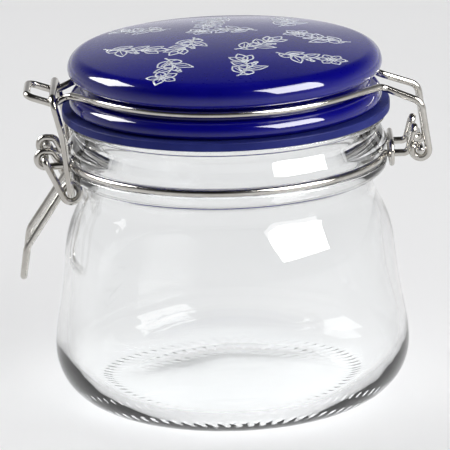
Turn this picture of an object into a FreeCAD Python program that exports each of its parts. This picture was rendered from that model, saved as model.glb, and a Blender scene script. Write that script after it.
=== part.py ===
"""Clip-top glass canister: a round-bellied jar, a glazed ceramic lid, a rubber
gasket and a wire closure.

Millimetres, +Z up, origin on the jar's axis at the surface it stands on.
The latch is on the -X side and the lid's hinge on the +X side.
"""

import FreeCAD, Part
import math
import os

V = FreeCAD.Vector

# ---------------------------------------------------------------- sizes
# Glass jar
BELLY_RADIUS = 51.9        # widest radius, just above the heel
HEEL_RADIUS = 15.5         # rounding from the foot into the belly
FOOT_WIDTH = 3.0           # flat bearing ring under the heel
PUSH_UP = 1.6              # height of the hollow under the base
WALL = 3.0                 # side wall
FLOOR = 4.6                # thickness of the base at its rim
FLOOR_CROWN = 0.9          # rise of the inside floor at its middle
JAR_HEIGHT = 84.9          # top of the glass rim
MOUTH_RADIUS = 39.4        # inside of the neck
NECK_WALL = 2.8            # glass between the mouth and the waist under the neck
WAIST_DROP = 22.5          # from the rim down to where the shoulder ends

# Neck of the glass, from the rim down
NECK_STANDOUT = 4.2        # lip, band and bead stand out this far from the waist
COVE_DEPTH = 2.2           # hollow between the lip and the band
LIP_HEIGHT = 1.7
COVE_HEIGHT = 2.6          # from the lip down to the middle of the hollow
WIRE_GROOVE_DROP = 12.4    # from the rim down to the middle of the neck wire's groove
BEAD_HEIGHT = 3.8          # ring of glass under the neck wire

# The side's outline between the belly and the waist: how far up and how far in
SIDE_SHAPE = ((0.30, 0.20), (0.51, 0.34), (0.68, 0.43), (0.81, 0.60), (0.93, 0.88))

# Gasket and lid
GASKET_OVERHANG = 1.1      # beyond the side of the glass neck
GASKET_THICKNESS = 2.5
FLANGE_INSET = 1.1         # ring of the lid that bears on the gasket, inside that side
FLANGE_HEIGHT = 4.8
FLANGE_CHAMFER = 2.6       # on the flange's upper edge
LID_GROOVE_DEPTH = 3.6     # groove for the lid wire, from the flange's edge
RIM_INSET = 0.9            # rim of the dome, inside the side of the glass neck
RIM_ROUND = 2.7            # rounding of the dome's rim
RIM_CENTRE_RISE = 3.32     # from the top of the groove to the centre of that rounding
DOME_RISE = 4.6            # from the top of the rim's rounding to the apex
PLUG_GAP = 2.4             # between the mouth and the lid's plug
PLUG_DEPTH = 5.2           # below the flange
LID_WALL = 5.5
LID_CEILING = 8.2          # thickness of the lid at its middle

# Wires
WIRE = 2.1                 # every wire of the closure
CLAMP_WIRE = 1.6           # the small ring that holds the neck wire shut
TAB_SPREAD = 16.0          # between the two wires of the lid's tab
EYE_SPREAD = 16.2          # between the neck wire's two eyes
HANDLE_SPREAD = 20.0       # between the lever's grips
HINGE_ROOT_SPREAD = 16.4   # between the hinge arms where they leave the lid's ring
STOP_SPREAD = 14.0         # between the neck wire's hinge arms
TAB_LEAVE = 29.0           # degrees from -X at which the lid wire leaves its groove
HINGE_LEAVE = 30.0         # the same, from +X
LID_WIRE_DROOP = 1.9       # how much lower the lid wire is once clear of its groove

# Clearances
SEAT_GAP = 0.12            # between parts that rest on each other
GROOVE_GAP = 0.15          # round a wire in its groove
FLANGE_GAP = 1.01          # from the flange's top to the lid wire
EYE_GAP = 0.15             # between the lever's pins and the eyes round them
HOOK_GAP = 0.25            # between the hinge pins and the hooks round them
COIL_GAP = 0.3             # between the link's pins and the lever's coils round them
STOP_GAP = 0.7             # between a stop's two legs
ARM_GAP = 0.5              # between the eyes and the lever's arms beside them
LEG_GAP = 0.2              # between those arms and the link's legs beside them
HOOK_SIDE_GAP = 0.9        # between the stops and the hooks beside them
CLAMP_SLACK = 1.35         # over and under the wires inside the clamp ring
BEAD_GAP = 0.05            # from the level of the bead's foot down to the lever's coils
PIN_OVERHANG = 1.0         # how far a wire's end stands past what it goes through

# Places of the closure's pivots and bends: outwards, then upwards
HINGE_FROM_NECK = (9.3, 1.5)       # from the neck's side and the middle of its groove
LEVER_FROM_NECK = (6.2, 1.5)       # the same
LINK_PIN_INSET = 2.15              # inner side of the link's pins, inside the neck's side
LEG_INSET = 0.45                   # the same for its legs, at their bend
LEG_BEND_DROP = 3.4                # from the rim down to that bend
NOTCH_FROM_RING = (6.7, -4.2)      # dip in the lid's tab, from the lid wire's ring
TAB_END_FROM_RING = (14.4, -1.6)
ELBOW_FROM_RING = -6.2             # bend of the hinge arms, below the same ring
ELBOW_OUT = 0.4                    # that bend, outside the hinge's axis
STOP_FOOT_INSET = 3.3              # foot of the stops, inside the hinge's axis
STOP_TOP_FROM_HINGE = (-1.5, 5.8)
BEND_FROM_LINK = (13.5, -15.8)     # bend of the lever's grip, from the link's pivot
TIP_FROM_BEND = (1.4, -9.4)

# ---------------------------------------------------------------- derived radii and levels
WAIST_RADIUS = MOUTH_RADIUS + NECK_WALL
WAIST_HEIGHT = JAR_HEIGHT - WAIST_DROP
NECK_RADIUS = WAIST_RADIUS + NECK_STANDOUT
COVE_RADIUS = NECK_RADIUS - COVE_DEPTH
GROOVE_HALF = WIRE / 2 + GROOVE_GAP
WIRE_GROOVE_HEIGHT = JAR_HEIGHT - WIRE_GROOVE_DROP
NECK_WIRE_RADIUS = NECK_RADIUS - 0.8
GROOVE_FLOOR = NECK_WIRE_RADIUS - WIRE / 2 - GROOVE_GAP
BAND_FOOT = WIRE_GROOVE_HEIGHT + GROOVE_HALF
BEAD_TOP = WIRE_GROOVE_HEIGHT - GROOVE_HALF
BEAD_FOOT = BEAD_TOP - BEAD_HEIGHT
GASKET_RADIUS = NECK_RADIUS + GASKET_OVERHANG
GASKET_FOOT = JAR_HEIGHT + SEAT_GAP
GASKET_TOP = GASKET_FOOT + GASKET_THICKNESS
FLANGE_RADIUS = NECK_RADIUS - FLANGE_INSET
FLANGE_FOOT = GASKET_TOP + SEAT_GAP
FLANGE_TOP = FLANGE_FOOT + FLANGE_HEIGHT
PLUG_RADIUS = MOUTH_RADIUS - PLUG_GAP
LID_NECK_RADIUS = FLANGE_RADIUS - LID_GROOVE_DEPTH
LID_WIRE_RADIUS = LID_NECK_RADIUS + WIRE / 2 + GROOVE_GAP
LID_WIRE_Z = FLANGE_TOP + FLANGE_GAP + WIRE / 2
LID_GROOVE_TOP = LID_WIRE_Z + GROOVE_HALF
LID_RADIUS = NECK_RADIUS - RIM_INSET
RIM_R = LID_RADIUS - RIM_ROUND
RIM_Z = LID_GROOVE_TOP + RIM_CENTRE_RISE
APEX = RIM_Z + RIM_ROUND + DOME_RISE

# ---------------------------------------------------------------- derived wire places
EYE_RADIUS = WIRE + EYE_GAP
HOOK_RADIUS = WIRE + HOOK_GAP
COIL_RADIUS = WIRE + COIL_GAP
STOP_WIDTH = WIRE + STOP_GAP
LEVER_SPREAD = EYE_SPREAD + 2 * (WIRE + ARM_GAP)
LINK_SPREAD = LEVER_SPREAD + 2 * (WIRE + LEG_GAP)
HINGE_ARM_SPREAD = STOP_SPREAD + 2 * (WIRE + HOOK_SIDE_GAP)

HINGE = (NECK_RADIUS + HINGE_FROM_NECK[0], WIRE_GROOVE_HEIGHT + HINGE_FROM_NECK[1])
STOP_FOOT_X = HINGE[0] - STOP_FOOT_INSET
STOP_TOP = (HINGE[0] + STOP_TOP_FROM_HINGE[0], HINGE[1] + STOP_TOP_FROM_HINGE[1])
LID_ELBOW = (HINGE[0] + ELBOW_OUT, LID_WIRE_Z + ELBOW_FROM_RING)
LEVER_PIVOT = (-NECK_RADIUS - LEVER_FROM_NECK[0], WIRE_GROOVE_HEIGHT + LEVER_FROM_NECK[1])
LINK_PIVOT = (
    LINK_PIN_INSET - NECK_RADIUS - WIRE / 2,
    BEAD_FOOT - BEAD_GAP - WIRE / 2 - COIL_RADIUS,
)
LINK_BEND = (LEG_INSET - NECK_RADIUS - WIRE / 2, JAR_HEIGHT - LEG_BEND_DROP)
NOTCH = (-LID_WIRE_RADIUS - NOTCH_FROM_RING[0], LID_WIRE_Z + NOTCH_FROM_RING[1])
TAB_END = (-LID_WIRE_RADIUS - TAB_END_FROM_RING[0], LID_WIRE_Z + TAB_END_FROM_RING[1])
HANDLE_BEND = (LINK_PIVOT[0] - BEND_FROM_LINK[0], LINK_PIVOT[1] + BEND_FROM_LINK[1])
HANDLE_TIP = (HANDLE_BEND[0] - TIP_FROM_BEND[0], HANDLE_BEND[1] + TIP_FROM_BEND[1])


# ---------------------------------------------------------------- outlines
def rounded(points):
    """Edges of straight runs joined by tangent arcs.

    Each point is (vector, radius); the two end points are not rounded.
    """
    edges = []
    start = points[0][0]
    for (before, _), (here, radius), (after, _) in zip(points, points[1:], points[2:]):
        back = (before - here).normalize()
        ahead = (after - here).normalize()
        half = back.getAngle(ahead) / 2
        if radius <= 0 or math.pi / 2 - half < 1e-6:
            edges.append(Part.LineSegment(start, here).toShape())
            start = here
            continue
        reach = radius / math.tan(half)
        entry = here + back * reach
        leave = here + ahead * reach
        inward = (back + ahead).normalize()
        middle = here + inward * (radius / math.sin(half) - radius)
        if (entry - start).Length > 1e-5:
            edges.append(Part.LineSegment(start, entry).toShape())
        edges.append(Part.Arc(entry, middle, leave).toShape())
        start = leave
    if (points[-1][0] - start).Length > 1e-5:
        edges.append(Part.LineSegment(start, points[-1][0]).toShape())
    return edges


def bend_centre(before, here, after, radius):
    """Centre of the arc that rounds the corner at here."""
    back = (before - here).normalize()
    ahead = (after - here).normalize()
    half = back.getAngle(ahead) / 2
    return here + (back + ahead).normalize() * (radius / math.sin(half))


def crown(rim, height, edge_height):
    """Arc in the XZ plane from a rim to the Z axis, part of a ball round the axis."""
    rise = height - edge_height
    ball = (rim ** 2 + rise ** 2) / (2 * rise)
    lean = math.asin(rim / ball) / 2
    middle = V(ball * math.sin(lean), 0, height - ball + ball * math.cos(lean))
    return Part.Arc(V(rim, 0, edge_height), middle, V(0, 0, height)).toShape()


def profile(corners):
    """Rounded outline in the XZ plane from (radius, height, rounding) corners."""
    return rounded([(V(r, 0, z), rounding) for r, z, rounding in corners])


def turned(edges):
    """Solid of revolution about the Z axis from a closed outline."""
    face = Part.Face(Part.Wire(Part.__sortEdges__(edges)))
    return face.revolve(V(0, 0, 0), V(0, 0, 1), 360)


def side_curve(foot_radius, foot_height, top_radius, top_height):
    """Side of the glass, upright where it leaves the heel and at the waist."""
    rise = top_height - foot_height
    points = [V(foot_radius, 0, foot_height)]
    for up, inward in SIDE_SHAPE:
        radius = foot_radius + (top_radius - foot_radius) * inward
        points.append(V(radius, 0, foot_height + rise * up))
    points.append(V(top_radius, 0, top_height))
    curve = Part.BSplineCurve()
    curve.interpolate(Points=points, InitialTangent=V(0, 0, 1), FinalTangent=V(0, 0, 1))
    return curve.toShape()


# ---------------------------------------------------------------- wires
def mirrored(points):
    """A half route and its mirror image across the XZ plane, as one route."""
    other = [(V(p.x, -p.y, p.z), r) for p, r in reversed(points)]
    return points + other


def sweep(points, diameter):
    """Round wire along a route of straight runs and tangent arcs."""
    route = Part.Wire(rounded(points))
    start = points[0][0]
    heading = points[1][0] - start
    section = Part.Wire(Part.Circle(start, heading, diameter / 2).toShape())
    return route.makePipeShell([section], True, False)


def round_corners(centre, radius, start, end, count, place):
    """Corners of a polygon whose rounding by the same radius makes an arc.

    The arc runs from angle start to angle end, in degrees. place turns the
    arc's own two coordinates and the share of the way along it into a vector.
    """
    step = math.radians(end - start) / count
    reach = radius / math.cos(step / 2)
    corners = []
    for i in range(count):
        angle = math.radians(start) + step * (i + 0.5)
        u = centre[0] + reach * math.cos(angle)
        v = centre[1] + reach * math.sin(angle)
        corners.append((place(u, v, (i + 0.5) / count), radius))
    return corners


def ring_exit(radius, half_spread, bend):
    """Where a ring in a groove is left for a run along X at y = -half_spread.

    Gives the angle from the X axis at which the ring ends and the distance
    from the axis, along X, of the corner between ring and run.
    """
    angle = math.asin(half_spread / radius)
    for _ in range(30):
        turn = math.pi / 2 - angle
        along = bend * math.tan(turn / 2) * 1.02
        angle = math.asin((half_spread + along * math.cos(angle)) / radius)
    corner = radius * math.cos(angle) + along * math.sin(angle)
    return math.degrees(angle), corner


def half_ring(radius, height, from_hinge, to_latch, count):
    """Near half of a ring, from the hinge side (+X) round to the latch side."""
    def place(u, v, share):
        return V(u, v, height)
    return round_corners((0, 0), radius, -from_hinge, -180 + to_latch, count, place)


# ---------------------------------------------------------------- the pieces
def glass_jar():
    foot_out = BELLY_RADIUS - HEEL_RADIUS
    foot_in = foot_out - FOOT_WIDTH
    inner_heel = HEEL_RADIUS - WALL
    inner_belly = BELLY_RADIUS - WALL
    inner_start = FLOOR + inner_heel
    slope = math.sqrt(0.5)

    under = crown(foot_in, PUSH_UP, 0)
    foot = Part.LineSegment(V(foot_in, 0, 0), V(foot_out, 0, 0))
    heel = Part.Arc(
        V(foot_out, 0, 0),
        V(foot_out + HEEL_RADIUS * slope, 0, HEEL_RADIUS * (1 - slope)),
        V(BELLY_RADIUS, 0, HEEL_RADIUS),
    )
    side = side_curve(BELLY_RADIUS, HEEL_RADIUS, WAIST_RADIUS, WAIST_HEIGHT)
    lip_foot = JAR_HEIGHT - LIP_HEIGHT
    neck = profile((
        (WAIST_RADIUS, WAIST_HEIGHT, 0),
        (WAIST_RADIUS, BEAD_FOOT, 1.6),
        (NECK_RADIUS, BEAD_FOOT, 2.0),
        (NECK_RADIUS, BEAD_TOP, 0.7),
        (GROOVE_FLOOR, BEAD_TOP, 0.6),
        (GROOVE_FLOOR, BAND_FOOT, 0.6),
        (NECK_RADIUS, BAND_FOOT, 0.7),
        (NECK_RADIUS, BAND_FOOT + 2.4, 3.0),
        (COVE_RADIUS, lip_foot - COVE_HEIGHT, 3.0),
        (COVE_RADIUS, lip_foot, 0.6),
        (NECK_RADIUS, lip_foot, 0.6),
        (NECK_RADIUS, JAR_HEIGHT, 0.6),
        (MOUTH_RADIUS, JAR_HEIGHT, 1.2),
        (MOUTH_RADIUS, WAIST_HEIGHT, 0),
    ))
    inside = side_curve(inner_belly, inner_start, MOUTH_RADIUS, WAIST_HEIGHT)
    inner_foot = inner_belly - inner_heel
    heel_inside = Part.Arc(
        V(inner_belly, 0, inner_start),
        V(inner_foot + inner_heel * slope, 0, FLOOR + inner_heel * (1 - slope)),
        V(inner_foot, 0, FLOOR),
    )
    floor = crown(inner_foot, FLOOR + FLOOR_CROWN, FLOOR)
    axis = Part.LineSegment(V(0, 0, FLOOR + FLOOR_CROWN), V(0, 0, PUSH_UP))
    edges = [under, foot.toShape(), heel.toShape(), side]
    edges += neck
    edges += [inside, heel_inside.toShape(), floor, axis.toShape()]
    return turned(edges)


def lid():
    # The dome is one arc, tangent to the rim's rounding
    drop = RIM_Z - APEX
    dome = (RIM_ROUND ** 2 - RIM_R ** 2 - drop ** 2) / (2 * drop + 2 * RIM_ROUND)
    dome_centre = APEX - dome
    lean = math.atan2(RIM_R, RIM_Z - dome_centre)
    rim_start = V(RIM_R + RIM_ROUND * math.sin(lean), 0, RIM_Z + RIM_ROUND * math.cos(lean))
    middle = V(dome * math.sin(lean / 2), 0, dome_centre + dome * math.cos(lean / 2))
    under = math.radians(-60)
    rim_end = V(RIM_R + RIM_ROUND * math.cos(under), 0, RIM_Z + RIM_ROUND * math.sin(under))
    plug_foot = FLANGE_FOOT - PLUG_DEPTH
    inner_radius = PLUG_RADIUS - LID_WALL
    ceiling = APEX - LID_CEILING
    edges = [
        Part.Arc(V(0, 0, APEX), middle, rim_start).toShape(),
        Part.Arc(rim_start, V(LID_RADIUS, 0, RIM_Z), rim_end).toShape(),
    ]
    edges += profile((
        (rim_end.x, rim_end.z, 0),
        (LID_NECK_RADIUS, LID_GROOVE_TOP, 0.5),
        (LID_NECK_RADIUS, FLANGE_TOP, 0.5),
        (FLANGE_RADIUS - FLANGE_CHAMFER, FLANGE_TOP, 1.0),
        (FLANGE_RADIUS, FLANGE_TOP - FLANGE_CHAMFER, 1.2),
        (FLANGE_RADIUS, FLANGE_FOOT + 1.0, 0.8),
        (FLANGE_RADIUS - 1.1, FLANGE_FOOT, 0.4),
        (PLUG_RADIUS, FLANGE_FOOT, 0.4),
        (PLUG_RADIUS - 0.6, plug_foot, 1.6),
        (inner_radius + 0.6, plug_foot, 1.6),
        (inner_radius, ceiling, 6.0),
        (0, ceiling, 0),
    ))
    edges.append(Part.LineSegment(V(0, 0, ceiling), V(0, 0, APEX)).toShape())
    return turned(edges)


def gasket():
    inner = PLUG_RADIUS + 0.3
    round_edge = 0.35
    return turned(profile((
        (inner + 1, GASKET_FOOT, 0),
        (GASKET_RADIUS, GASKET_FOOT, round_edge),
        (GASKET_RADIUS, GASKET_TOP, round_edge),
        (inner, GASKET_TOP, round_edge),
        (inner, GASKET_FOOT, round_edge),
        (inner + 1, GASKET_FOOT, 0),
    )))


def neck_wire():
    """Ring in the glass's groove, with the hinge's pins and stops and two eyes."""
    outer = STOP_SPREAD / 2
    inner = outer - STOP_WIDTH
    pin_end = HINGE_ARM_SPREAD / 2 + WIRE / 2 + PIN_OVERHANG
    bend = 2.4
    level = WIRE_GROOVE_HEIGHT
    hinge_angle, hinge_corner = ring_exit(NECK_WIRE_RADIUS, outer, bend)
    eye = EYE_SPREAD / 2
    latch_angle, latch_corner = ring_exit(NECK_WIRE_RADIUS, eye + 1.2, bend)
    eye_end = LEVER_PIVOT[0] - EYE_RADIUS
    eye_low = LEVER_PIVOT[1] - EYE_RADIUS
    eye_high = LEVER_PIVOT[1] + EYE_RADIUS
    back_angle = math.radians(5)
    back_run = 2.3
    back_corner = V(
        -NECK_WIRE_RADIUS * math.cos(back_angle) + back_run * math.sin(back_angle),
        -NECK_WIRE_RADIUS * math.sin(back_angle) - back_run * math.cos(back_angle),
        level,
    )
    points = [
        (V(HINGE[0], -pin_end, HINGE[1]), 0),
        (V(HINGE[0], -inner, HINGE[1]), 1.5),
        (V(STOP_FOOT_X, -inner, HINGE[1]), 1.5),
        (V(STOP_TOP[0], -inner, STOP_TOP[1]), STOP_WIDTH / 2),
        (V(STOP_TOP[0], -outer, STOP_TOP[1]), STOP_WIDTH / 2),
        (V(STOP_FOOT_X - 0.2, -outer, level), 1.8),
        (V(hinge_corner, -outer, level), bend),
    ]
    points += half_ring(NECK_WIRE_RADIUS, level, hinge_angle, latch_angle, 5)
    points += [
        (V(-latch_corner, -eye - 1.2, level), bend),
        (V(LEVER_PIVOT[0] + 1.0, -eye - 0.3, eye_low), 4.0),
        (V(eye_end, -eye, eye_low), EYE_RADIUS - 0.05),
        (V(eye_end, -eye, eye_high), EYE_RADIUS - 0.05),
        (V(LEVER_PIVOT[0] + 2.2, -eye + 0.5, eye_high - 0.1), 1.6),
        (V(-NECK_WIRE_RADIUS - 2.6, -eye + 1.3, level + 0.3), 1.6),
        (back_corner, 1.9),
    ]
    middle = V(-NECK_WIRE_RADIUS / math.cos(back_angle), 0, level)
    other = [(V(p.x, -p.y, p.z), r) for p, r in reversed(points)]
    return sweep(points + [(middle, NECK_WIRE_RADIUS)] + other, WIRE)


def clamp_ring():
    """Flat oval ring round the neck wire's two hinge arms, beside the glass."""
    reach = STOP_SPREAD / 2 + WIRE / 2 + CLAMP_WIRE / 2 + 0.1
    half_height = WIRE / 2 + CLAMP_SLACK + CLAMP_WIRE / 2
    x = NECK_RADIUS + 0.3 + CLAMP_WIRE / 2
    end = half_height - 0.4
    z = WIRE_GROOVE_HEIGHT
    route = rounded([
        (V(x, 0, z - half_height), 0),
        (V(x, reach, z - half_height), end),
        (V(x, reach, z + half_height), end),
        (V(x, -reach, z + half_height), end),
        (V(x, -reach, z - half_height), end),
        (V(x, 0, z - half_height), 0),
    ])
    section = Part.Circle(V(x, 0, z - half_height), V(0, 1, 0), CLAMP_WIRE / 2)
    return Part.Wire(route).makePipeShell([Part.Wire(section.toShape())], True, False)


def leave_x(half_spread, ring_end):
    """X at which the lid wire, straight after its ring, has come in to half_spread."""
    angle = math.radians(ring_end)
    return (LID_WIRE_RADIUS - half_spread * math.sin(angle)) / math.cos(angle)


def tab_corners(y):
    """Corners of the lid wire's tab: at its root, in the notch, at the end."""
    return (
        V(-leave_x(TAB_SPREAD / 2, TAB_LEAVE), y, LID_WIRE_Z - LID_WIRE_DROOP),
        V(NOTCH[0], y, NOTCH[1]),
        V(TAB_END[0], y, TAB_END[1]),
    )


def lid_wire():
    """Ring in the lid's groove, with hooks round the hinge pins and a tab."""
    arm = HINGE_ARM_SPREAD / 2
    tab = TAB_SPREAD / 2

    def place_hook(u, v, share):
        return V(u, -arm, v)

    rise_x = LID_ELBOW[0] - HINGE[0]
    rise_z = LID_ELBOW[1] - HINGE[1]
    lean = math.acos(HOOK_RADIUS / math.hypot(rise_x, rise_z))
    last = 360 + math.degrees(math.atan2(rise_z, rise_x) - lean)
    hook = round_corners(HINGE, HOOK_RADIUS, 150, last, 5, place_hook)
    first = math.radians(150)
    hook_end = V(
        HINGE[0] + HOOK_RADIUS * math.cos(first),
        -arm,
        HINGE[1] + HOOK_RADIUS * math.sin(first),
    )
    root_y = HINGE_ROOT_SPREAD / 2
    hinge_root = V(leave_x(root_y, HINGE_LEAVE), -root_y, LID_WIRE_Z - LID_WIRE_DROOP)
    # The ring's first and last arcs start the droop, so they are a little tighter
    ring = half_ring(LID_WIRE_RADIUS, LID_WIRE_Z, HINGE_LEAVE, TAB_LEAVE, 7)
    ring[0] = (ring[0][0], 0.9 * LID_WIRE_RADIUS)
    ring[-1] = (ring[-1][0], 0.9 * LID_WIRE_RADIUS)
    points = [(hook_end, 0)]
    points += hook
    points += [
        (V(LID_ELBOW[0], -arm, LID_ELBOW[1]), 3.4),
        (hinge_root, 3.0),
    ]
    points += ring
    root, notch, end = tab_corners(-tab)
    points += [(root, 3.0), (notch, WIRE + SEAT_GAP), (end, 2.6)]
    return sweep(mirrored(points), WIRE)


def lever():
    """Bent wire lever: pins in the neck wire's eyes, a coil each side, one grip."""
    arm = LEVER_SPREAD / 2
    grip = HANDLE_SPREAD / 2
    coil_inner = arm - WIRE - 0.4
    pin_end = EYE_SPREAD / 2 - WIRE / 2 - PIN_OVERHANG
    ax, az = LEVER_PIVOT
    bx, bz = LINK_PIVOT
    away = math.hypot(bx - ax, bz - az)
    arm_heading = math.atan2(bz - az, bx - ax) - math.asin(COIL_RADIUS / away)
    gx, gz = HANDLE_BEND
    far = math.hypot(bx - gx, bz - gz)
    grip_heading = math.atan2(bz - gz, bx - gx) + math.asin(COIL_RADIUS / far) + math.pi
    start = math.degrees(arm_heading) - 90
    end = math.degrees(grip_heading) - 90

    def place_coil(u, v, share):
        return V(u, -arm + (arm - coil_inner) * share, v)

    coil = round_corners(LINK_PIVOT, COIL_RADIUS, start, end, 6, place_coil)
    points = [
        (V(ax, -pin_end, az), 0),
        (V(ax, -arm, az), 1.5),
    ]
    points += [(p, r * 0.96) for p, r in coil]
    points += [
        (V(gx, -grip, gz), 7.0),
        (V(HANDLE_TIP[0], -grip, HANDLE_TIP[1]), 3.2),
    ]
    return sweep(mirrored(points), WIRE)


def link():
    """Wire loop from the lever's coils up over the lid's tab."""
    leg = LINK_SPREAD / 2
    pin_end = LEVER_SPREAD / 2 - 2 * WIRE
    bar = bend_centre(*tab_corners(-leg), WIRE + SEAT_GAP)
    points = [
        (V(LINK_PIVOT[0], -pin_end, LINK_PIVOT[1]), 0),
        (V(LINK_PIVOT[0], -leg, LINK_PIVOT[1]), 1.6),
        (V(LINK_BEND[0], -leg, LINK_BEND[1]), 30.0),
        (bar, 3.2),
    ]
    return sweep(mirrored(points), WIRE)


PIECES = {
    "glass_jar": glass_jar,
    "neck_wire": neck_wire,
    "clamp_ring": clamp_ring,
    "lid": lid,
    "gasket": gasket,
    "lid_wire": lid_wire,
    "lever": lever,
    "link": link,
}

os.makedirs("parts", exist_ok=True)
for name, build in PIECES.items():
    shape = build()
    shape.exportStep("parts/" + name + ".step")
    print(name, shape.ShapeType, shape.isValid(), round(shape.Volume, 1))
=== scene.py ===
"""Looks of the clip-top glass canister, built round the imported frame.

Sizes are in millimetres, as in the part's source, and meshes are made in metres.
The latch is on -X, the hinge on +X, and the camera looks along +Y.
"""

import math
import random

import bpy
from mathutils import Matrix, Vector, noise

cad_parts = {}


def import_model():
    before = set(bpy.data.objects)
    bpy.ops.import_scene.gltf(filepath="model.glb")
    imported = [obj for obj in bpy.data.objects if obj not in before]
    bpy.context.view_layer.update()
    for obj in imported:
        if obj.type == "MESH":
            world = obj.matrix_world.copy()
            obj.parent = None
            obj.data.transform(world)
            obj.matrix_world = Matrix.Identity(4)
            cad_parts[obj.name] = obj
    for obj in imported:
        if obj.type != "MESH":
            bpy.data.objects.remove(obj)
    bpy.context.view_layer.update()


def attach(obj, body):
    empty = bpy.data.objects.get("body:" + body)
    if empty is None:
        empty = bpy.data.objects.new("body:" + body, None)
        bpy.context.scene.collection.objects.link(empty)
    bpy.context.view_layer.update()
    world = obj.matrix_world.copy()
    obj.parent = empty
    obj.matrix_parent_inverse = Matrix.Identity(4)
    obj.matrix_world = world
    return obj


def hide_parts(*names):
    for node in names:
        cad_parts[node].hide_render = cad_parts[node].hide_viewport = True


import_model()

MM = 0.001
TAU = 2 * math.pi
LATHE_SEGMENTS = 256       # round the lid and the gasket
WIRE_SIDES = 20            # round a wire

# ---------------------------------------------------------------- sizes, as in the CAD
BELLY_RADIUS = 51.9
HEEL_RADIUS = 15.5
FOOT_WIDTH = 3.0
PUSH_UP = 1.6
WALL = 3.0
FLOOR = 4.6
FLOOR_CROWN = 0.9
WAIST_RADIUS = 42.2
WAIST_HEIGHT = 62.4
JAR_HEIGHT = 84.9
MOUTH_RADIUS = 39.4
NECK_RADIUS = 46.4
COVE_RADIUS = 44.2
LIP_HEIGHT = 1.7
COVE_HEIGHT = 2.6
WIRE_GROOVE_HEIGHT = 72.5
BEAD_HEIGHT = 3.8
SIDE_SHAPE = ((0.30, 0.20), (0.51, 0.34), (0.68, 0.43), (0.81, 0.60), (0.93, 0.88))
GASKET_RADIUS = 47.5
GASKET_THICKNESS = 2.5
LID_RADIUS = 45.5
RIM_ROUND = 2.7
RIM_CENTRE_RISE = 11.5
DOME_RISE = 4.6
FLANGE_RADIUS = 45.3
FLANGE_HEIGHT = 4.8
LID_NECK_RADIUS = 41.7
PLUG_RADIUS = 37.0
PLUG_DEPTH = 5.2
LID_WALL = 5.5
LID_CEILING = 8.2
WIRE = 2.1
CLAMP_WIRE = 1.6
TAB_SPREAD = 16.0
EYE_SPREAD = 16.2
LEVER_SPREAD = 21.4
HANDLE_SPREAD = 20.0
LINK_SPREAD = 26.0
HINGE_ARM_SPREAD = 20.0
HINGE_ROOT_SPREAD = 16.4
STOP_SPREAD = 14.0
STOP_WIDTH = 2.8
TAB_LEAVE = 29.0
HINGE_LEAVE = 30.0
LID_WIRE_RISE = 2.06
LID_WIRE_DROOP = 1.9
HINGE = (55.7, 74.0)
LEVER_PIVOT = (-52.6, 74.0)
LINK_PIVOT = (-45.3, 64.0)
NOTCH = (-49.6, 90.3)
TAB_END = (-57.3, 92.9)
LINK_BEND = (-47.0, 81.5)
HANDLE_BEND = (-58.8, 48.2)
HANDLE_TIP = (-60.2, 38.8)
STOP_TOP = (54.2, 79.8)
STOP_FOOT = (52.4, 74.0)
LID_ELBOW = (56.1, 88.3)
COIL_RADIUS = 2.4
HOOK_RADIUS = 2.35
EYE_RADIUS = 2.25
SEAT_GAP = 0.12
GROOVE_GAP = 0.15
PIN_OVERHANG = 1.0

GROOVE_HALF = WIRE / 2 + GROOVE_GAP
NECK_WIRE_RADIUS = NECK_RADIUS - 0.8
GROOVE_FLOOR = NECK_WIRE_RADIUS - WIRE / 2 - GROOVE_GAP
BEAD_TOP = WIRE_GROOVE_HEIGHT - GROOVE_HALF
BAND_FOOT = WIRE_GROOVE_HEIGHT + GROOVE_HALF
GASKET_FOOT = JAR_HEIGHT + SEAT_GAP
GASKET_TOP = GASKET_FOOT + GASKET_THICKNESS
FLANGE_FOOT = GASKET_TOP + SEAT_GAP
FLANGE_TOP = FLANGE_FOOT + FLANGE_HEIGHT
RIM_Z = GASKET_TOP + RIM_CENTRE_RISE
RIM_R = LID_RADIUS - RIM_ROUND
APEX = RIM_Z + RIM_ROUND + DOME_RISE
LID_WIRE_RADIUS = LID_NECK_RADIUS + WIRE / 2 + GROOVE_GAP
LID_WIRE_Z = FLANGE_TOP + LID_WIRE_RISE

# Looks only
SHOULDER_ROUND = 4.4       # upper part of the dome's rim, softer than the lower
CROWN_EASE = 0.04          # keeps the print on the dome inside the part's own height
FLANGE_BELLY = 3.0         # size of the flange's rounded upper edge
TICKS = 72                 # small dents round the heel
TICK_DEPTH = 0.32
TICK_BAND = (36.7, 40.4)   # radii between which the dents run
TICK_SEGMENTS = 7          # of the jar's surface, for each dent
RIPPLE_LENGTH = 28.0       # unevenness of the glass inside
RIPPLE_DEPTH = 0.35
HOOK_START = 150           # degrees at which the lid wire's hook starts, from +X


# ---------------------------------------------------------------- outlines
def rounded(points, degrees=6.0):
    """Points along straight runs and tangent arcs, from (vector, radius) corners."""
    line = [points[0][0].copy()]
    for (before, _), (here, radius), (after, _) in zip(points, points[1:], points[2:]):
        back = (before - here).normalized()
        ahead = (after - here).normalized()
        half = back.angle(ahead) / 2
        if radius <= 0 or math.pi / 2 - half < 1e-6:
            line.append(here.copy())
            continue
        centre = here + (back + ahead).normalized() * (radius / math.sin(half))
        entry = here + back * (radius / math.tan(half))
        leave = here + ahead * (radius / math.tan(half))
        a, b = entry - centre, leave - centre
        sweep = a.angle(b)
        count = max(2, math.ceil(math.degrees(sweep) / degrees))
        for i in range(count + 1):
            share = i / count
            mix = (a * math.sin((1 - share) * sweep) + b * math.sin(share * sweep))
            point = centre + mix / math.sin(sweep)
            if (point - line[-1]).length > 1e-4:
                line.append(point)
    if (points[-1][0] - line[-1]).length > 1e-4:
        line.append(points[-1][0].copy())
    return line


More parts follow.
